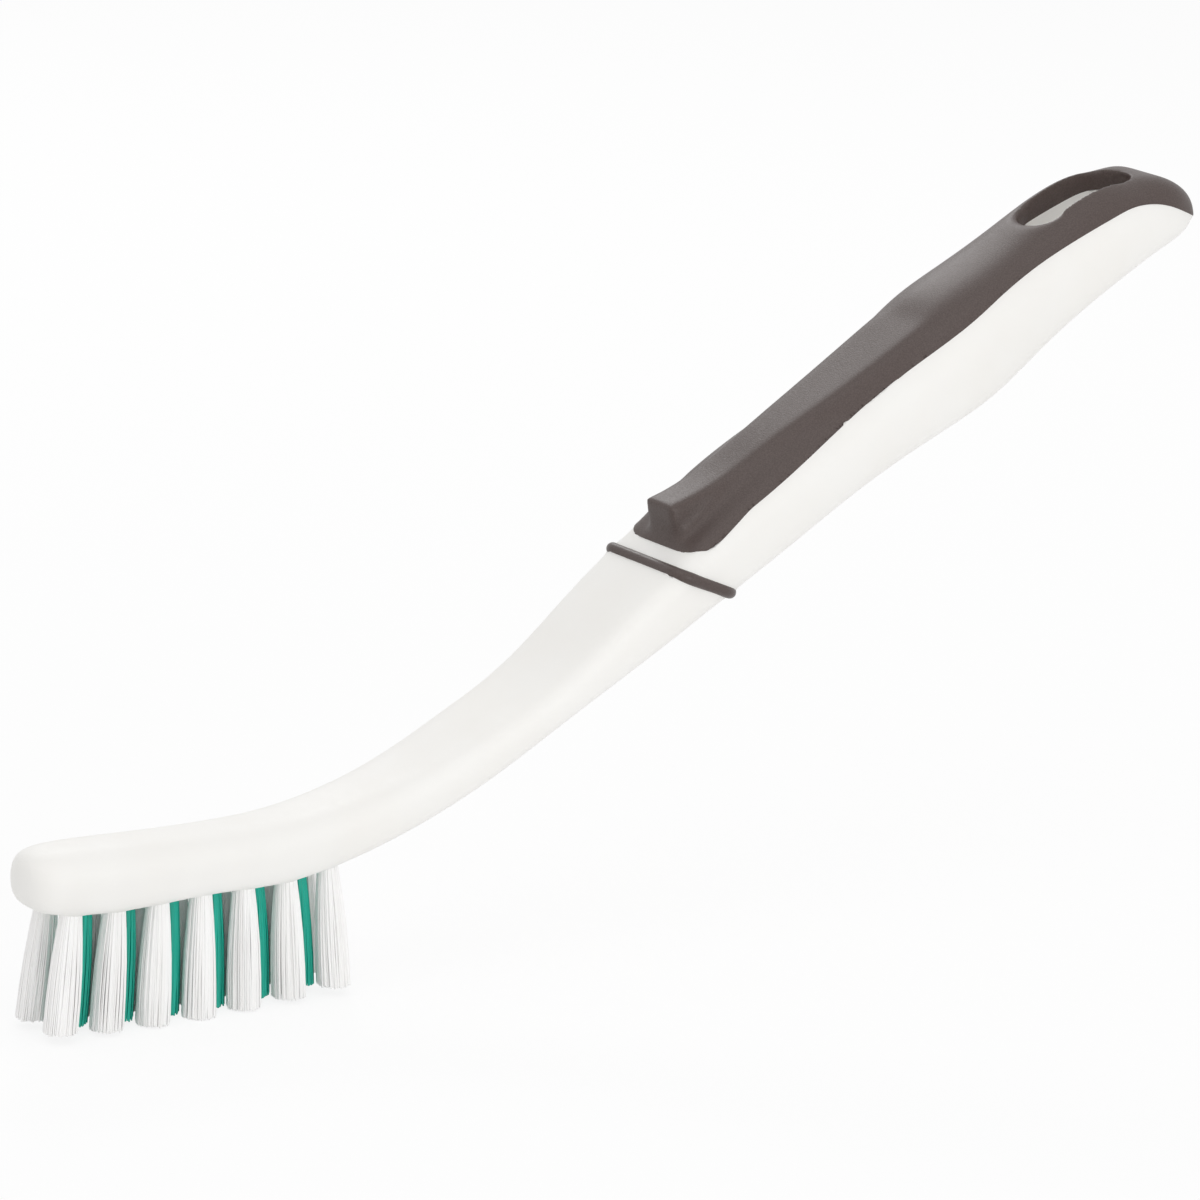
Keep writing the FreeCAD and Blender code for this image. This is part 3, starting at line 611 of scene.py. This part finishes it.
def bristle_tree():
    """Node tree that grows a bundle of filaments from each vertex, along that vertex's lean."""
    tree = bpy.data.node_groups.new("Bristles", "GeometryNodeTree")
    sockets = {
        "Tufts": "Geometry",
        "Filaments": "Int",
        "Seed": "Int",
        "Root Radius": "Float",
        "Tip Radius": "Float",
        "Filament Radius": "Float",
        "Tip Scatter": "Float",
        "Trim Scatter": "Float",
        "Bow": "Float",
        "Fullness": "Float",
        "Nylon": "Material",
    }
    for name, kind in sockets.items():
        tree.interface.new_socket(name, in_out="INPUT", socket_type=f"NodeSocket{kind}")
    tree.interface.new_socket("Bristles", in_out="OUTPUT", socket_type="NodeSocketGeometry")
    given = add_node(tree, "NodeGroupInput").outputs

    # Places of the filaments in a round bundle: every other one in its close outer layer
    bundle = add_node(tree, "GeometryNodeDuplicateElements",
                      {"Geometry": given["Tufts"], "Amount": given["Filaments"]}, domain="POINT").outputs
    order = bundle["Duplicate Index"]
    filled = math_node(tree, "DIVIDE", math_node(tree, "ADD", order, 1 / 2), given["Filaments"])
    inner = math_node(tree, "SQRT", filled)
    outer = math_node(tree, "MULTIPLY_ADD", filled, OUTER_LAYER, 1 - OUTER_LAYER)
    parity = math_node(tree, "MODULO", order, 2)
    out = add_node(tree, "ShaderNodeMix", {"Factor": parity, "A": inner, "B": outer},
                   data_type="FLOAT").outputs["Result"]
    turn = math_node(tree, "MULTIPLY", order, GOLDEN_ANGLE)
    disc = add_node(tree, "ShaderNodeCombineXYZ", {
        "X": math_node(tree, "MULTIPLY", math_node(tree, "COSINE", turn), out),
        "Y": math_node(tree, "MULTIPLY", math_node(tree, "SINE", turn), out),
    }).outputs["Vector"]
    root = scaled(tree, disc, given["Root Radius"])
    tip = scaled(tree, disc, given["Tip Radius"])

    # Scatter of the tips, of the trim and of the bow
    stray = random_vector(tree, given["Seed"])
    spread = add_node(tree, "ShaderNodeCombineXYZ", {
        "X": given["Tip Scatter"],
        "Y": given["Tip Scatter"],
        "Z": given["Trim Scatter"],
    }).outputs["Vector"]
    tip = vector_node(tree, "ADD", tip, vector_node(tree, "MULTIPLY", stray, spread))
    lean = vector_node(tree, "ADD", named_vector(tree, "lean"), vector_node(tree, "SUBTRACT", tip, root))
    bow = scaled(tree, random_vector(tree, math_node(tree, "ADD", given["Seed"], 1)), given["Bow"])
    bow = vector_node(tree, "ADD", bow, scaled(tree, disc, given["Fullness"]))
    strand = add_node(tree, "FunctionNodeRandomValue", {"Seed": given["Seed"]}, data_type="FLOAT")

    points = bundle["Geometry"]
    for name, kind, value in (("lean", "FLOAT_VECTOR", lean), ("bow", "FLOAT_VECTOR", bow),
                              ("strand", "FLOAT", strand.outputs[1])):
        points = add_node(tree, "GeometryNodeStoreNamedAttribute",
                          {"Geometry": points, "Name": name, "Value": value}, data_type=kind,
                          domain="POINT").outputs["Geometry"]
    points = moved(tree, points, root)

    # One short line per filament, drawn out along its lean and bowed
    stub = add_node(tree, "GeometryNodeCurvePrimitiveLine", {"End": (0, 0, -STUB_LENGTH)})
    stub = add_node(tree, "GeometryNodeResampleCurve",
                    {"Curve": stub.outputs["Curve"], "Count": STUB_POINTS})
    lines = add_node(tree, "GeometryNodeInstanceOnPoints",
                     {"Points": points, "Instance": stub.outputs["Curve"]})
    lines = add_node(tree, "GeometryNodeRealizeInstances", {"Geometry": lines.outputs["Instances"]})
    along = add_node(tree, "GeometryNodeSplineParameter").outputs["Factor"]
    swelling = math_node(tree, "SINE", math_node(tree, "MULTIPLY", along, math.pi))
    drawn = vector_node(tree, "ADD", scaled(tree, named_vector(tree, "lean"), along),
                        scaled(tree, named_vector(tree, "bow"), swelling))
    lines = moved(tree, lines.outputs["Geometry"], drawn)
    outline = add_node(tree, "GeometryNodeCurvePrimitiveCircle",
                       {"Resolution": FILAMENT_SIDES, "Radius": given["Filament Radius"]}).outputs["Curve"]
    tubes = add_node(tree, "GeometryNodeCurveToMesh",
                     {"Curve": lines, "Profile Curve": outline, "Fill Caps": True})
    whole = add_node(tree, "GeometryNodeRealizeInstances", {"Geometry": tubes.outputs["Mesh"]})
    painted = add_node(tree, "GeometryNodeSetMaterial",
                       {"Geometry": whole.outputs["Geometry"], "Material": given["Nylon"]})
    add_node(tree, "NodeGroupOutput", {"Bristles": painted.outputs["Geometry"]})
    return tree


def ring_at(node, level):
    """Centre and radius of a CAD tuft's ring of vertices at a height."""
    ring = [vertex.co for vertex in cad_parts[node].data.vertices
            if abs(vertex.co.z - level) < LEVEL_GAP]
    low = Vector(min(place[axis] for place in ring) for axis in range(3))
    high = Vector(max(place[axis] for place in ring) for axis in range(3))
    return (low + high) / 2, (high.x - low.x) / 2


def bristle_row(tree, row, count, material, slot, settings):
    """Filaments of one row of tufts, in the places of the CAD tufts."""
    nodes = [f"tuft_{row}_{index + 1}" for index in range(count)]
    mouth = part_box("handle_body")[0][2]
    roots, leans = [], []
    for node in nodes:
        low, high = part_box(node)
        top, root_radius = ring_at(node, high[2])
        tip, tip_radius = ring_at(node, low[2])
        start = Vector((top.x, top.y, mouth + settings.root_inset))
        roots.append(start)
        leans.append(tip - start + Vector((0, 0, STUB_LENGTH)))
    mesh = bpy.data.meshes.new(f"bristles_{row}")
    mesh.from_pydata(roots, [], [])
    lean = mesh.attributes.new("lean", "FLOAT_VECTOR", "POINT")
    lean.data.foreach_set("vector", [part for vector in leans for part in vector])
    piece = add_object(f"bristles_{row}", mesh)
    grow = piece.modifiers.new("Grow", "NODES")
    grow.node_group = tree
    radius = settings.filament_diameter / 2
    values = {
        "Filaments": settings.filaments,
        "Seed": settings.seed,
        "Root Radius": root_radius - radius,
        "Tip Radius": tip_radius * settings.tip_spread - radius,
        "Filament Radius": radius,
        "Tip Scatter": settings.tip_scatter,
        "Trim Scatter": settings.trim_scatter,
        "Bow": settings.bow,
        "Fullness": settings.fullness,
        "Nylon": material,
    }
    for socket in tree.interface.items_tree:
        if socket.in_out == "INPUT" and socket.name in values:
            grow[socket.identifier] = values[socket.name]
    apply_modifier(piece, grow)
    grown = piece.data
    for name in ("lean", "bow"):
        grown.attributes.remove(grown.attributes[name])
    grown.shade_smooth()
    if not grown.polygons:
        raise RuntimeError(f"no bristles grew in the {row} row")
    dress(piece, material, slot, *nodes)


# Stage

def add_camera(scene, settings):
    """Camera at the photograph's angle."""
    turn, rise = settings.azimuth, settings.elevation
    right = Vector((math.cos(turn), -math.sin(turn), 0))
    back = Vector((-math.sin(turn) * math.cos(rise), -math.cos(turn) * math.cos(rise), math.sin(rise)))
    upright = back.cross(right)
    across = right * math.cos(settings.roll) + upright * math.sin(settings.roll)
    above = upright * math.cos(settings.roll) - right * math.sin(settings.roll)
    camera = bpy.data.cameras.new("camera")
    camera.lens = settings.lens
    camera.sensor_width = SENSOR_MILLIMETRES
    camera.clip_start = NEAREST_VIEW
    camera.clip_end = FARTHEST_VIEW
    view = add_object("camera", camera)
    place = Vector(settings.look_at) + back * settings.distance
    facing = Matrix((across, above, back)).transposed()
    view.matrix_world = Matrix.Translation(place) @ facing.to_4x4()
    scene.camera = view


def add_area_light(name, place, target, width, power):
    """Square soft light that faces a point."""
    lamp = bpy.data.lights.new(name, "AREA")
    lamp.size = width
    lamp.energy = power
    light = add_object(name, lamp)
    aim = Vector(place) - Vector(target)
    light.matrix_world = Matrix.Translation(place) @ aim.to_track_quat("Z", "Y").to_matrix().to_4x4()


def white_ray(tree):
    """Factor that is one for the rays that show the surroundings themselves."""
    path = add_node(tree, "ShaderNodeLightPath").outputs
    seen = math_node(tree, "MAXIMUM", path["Is Camera Ray"], path["Is Glossy Ray"])
    return math_node(tree, "MAXIMUM", seen, path["Is Transmission Ray"])


def add_lights(scene, settings):
    """Soft lights high up behind, in front and overhead, and a white surround."""
    target = settings.look_at
    add_area_light("key", KEY_PLACE, target, KEY_WIDTH, settings.key_power)
    add_area_light("fill", FILL_PLACE, target, FILL_WIDTH, settings.fill_power)
    add_area_light("top", TOP_PLACE, target, TOP_WIDTH, settings.top_power)
    scene.world = bpy.data.worlds.new("surround")
    tree = empty_tree(scene.world)
    soft = add_node(tree, "ShaderNodeBackground", {"Color": WHITE, "Strength": settings.world_strength})
    plain = add_node(tree, "ShaderNodeBackground", {"Color": WHITE, "Strength": 1})
    white = white_ray(tree)
    mix = add_node(tree, "ShaderNodeMixShader", {0: white, 1: soft.outputs[0], 2: plain.outputs[0]})
    add_node(tree, "ShaderNodeOutputWorld", {"Surface": mix.outputs[0]})


def add_floor(settings):
    """Pale floor under the bristle tips that keeps a faint shadow."""
    half = settings.floor_size / 2
    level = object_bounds()[0][2] - settings.floor_gap
    corners = [(-half, -half, level), (half, -half, level), (half, half, level), (-half, half, level)]
    mesh = bpy.data.meshes.new("floor")
    mesh.from_pydata(corners, [], [range(len(corners))])
    floor = add_object("floor", mesh)
    material = bpy.data.materials.new("floor_paper")
    tree = empty_tree(material)
    paper = add_node(tree, "ShaderNodeBsdfDiffuse", {"Color": PAPER})
    plain = add_node(tree, "ShaderNodeEmission", {"Color": WHITE, "Strength": 1})
    white = math_node(tree, "MULTIPLY", white_ray(tree), settings.floor_white)
    mix = add_node(tree, "ShaderNodeMixShader", {0: white, 1: paper.outputs[0], 2: plain.outputs[0]})
    add_node(tree, "ShaderNodeOutputMaterial", {"Surface": mix.outputs[0]})
    mesh.materials.append(material)
    floor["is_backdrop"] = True


# Operators and panel

class BRUSH_OT_handle(bpy.types.Operator):
    """Make the white moulded handle"""
    bl_idname = "brush.handle"
    bl_label = "Handle"

    def execute(self, context):
        settings = context.scene.brush_settings.finish
        beside = [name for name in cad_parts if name.startswith(("grip", "neck", "tuft"))]
        piece = softened_piece("handle_body", "grip", beside, "handle", settings.handle_grid, settings)
        dress(piece, handle_plastic(settings), "handle_white", "handle_body")
        return {"FINISHED"}


class BRUSH_OT_grip(bpy.types.Operator):
    """Make the soft grip and the neck ring in the same rubber"""
    bl_idname = "brush.grip"
    bl_label = "Grip and ring"

    def execute(self, context):
        settings = context.scene.brush_settings.finish
        grip = softened_piece("grip", "handle_body", ["handle_body"], "soft_grip", settings.grip_grid,
                              settings, banded=True)
        dress(grip, grip_rubber(settings, "grip_rubber", GRIP_ROUGHNESS), "grip_rubber", "grip")
        ring = softened_piece("neck_ring", None, [], "ring", settings.ring_grid, settings)
        swell(ring, settings.ring_proud)
        dress(ring, grip_rubber(settings, "ring_rubber", RING_ROUGHNESS), "grip_rubber", "neck_ring")
        return {"FINISHED"}


class BRUSH_OT_bristles(bpy.types.Operator):
    """Grow the bristles of all three rows and finish the staples that hold them"""
    bl_idname = "brush.bristles"
    bl_label = "Bristles"

    def execute(self, context):
        settings = context.scene.brush_settings.bristles
        tree = bristle_tree()
        white = bristle_nylon("bristle_white", settings.white, settings.white_shade)
        green = bristle_nylon("bristle_green", settings.green, settings.green_shade)
        bristle_row(tree, "near", SIDE_TUFTS, white, "bristle_white", settings)
        bristle_row(tree, "centre", CENTRE_TUFTS, green, "bristle_green", settings)
        bristle_row(tree, "far", SIDE_TUFTS, white, "bristle_white", settings)
        steel = anchor_steel(context.scene.brush_settings.finish)
        for row in ("near", "centre", "far"):
            finish_node(f"anchors_{row}", steel)
        return {"FINISHED"}


class BRUSH_OT_stage(bpy.types.Operator):
    """Set up the camera, the soft light and the pale floor"""
    bl_idname = "brush.stage"
    bl_label = "Stage"

    def execute(self, context):
        settings = context.scene.brush_settings.stage
        add_camera(context.scene, settings)
        add_lights(context.scene, settings)
        add_floor(settings)
        context.scene.view_settings.view_transform = "Standard"
        return {"FINISHED"}


class BRUSH_PT_panel(bpy.types.Panel):
    """Sizes, colours and steps of the brush"""
    bl_idname = "BRUSH_PT_panel"
    bl_label = "Grout Brush"
    bl_space_type = "VIEW_3D"
    bl_region_type = "UI"
    bl_category = "Grout Brush"

    def draw(self, context):
        for group, steps in STEPS.items():
            for step in steps:
                self.layout.operator(step.bl_idname)
            values = getattr(context.scene.brush_settings, group)
            for name in values.__annotations__:
                self.layout.prop(values, name)


STEPS = {
    "finish": (BRUSH_OT_handle, BRUSH_OT_grip),
    "bristles": (BRUSH_OT_bristles,),
    "stage": (BRUSH_OT_stage,),
}
CLASSES = (BristleSettings, FinishSettings, StageSettings, BrushSettings, BRUSH_PT_panel,
           *(step for steps in STEPS.values() for step in steps))


def register():
    for item in CLASSES:
        bpy.utils.register_class(item)
    bpy.types.Scene.brush_settings = bpy.props.PointerProperty(type=BrushSettings)


def unregister():
    del bpy.types.Scene.brush_settings
    for item in reversed(CLASSES):
        bpy.utils.unregister_class(item)


def main():
    register()
    bpy.ops.brush.handle()
    bpy.ops.brush.grip()
    bpy.ops.brush.bristles()
    bpy.ops.brush.stage()


if __name__ == "__main__":
    main()
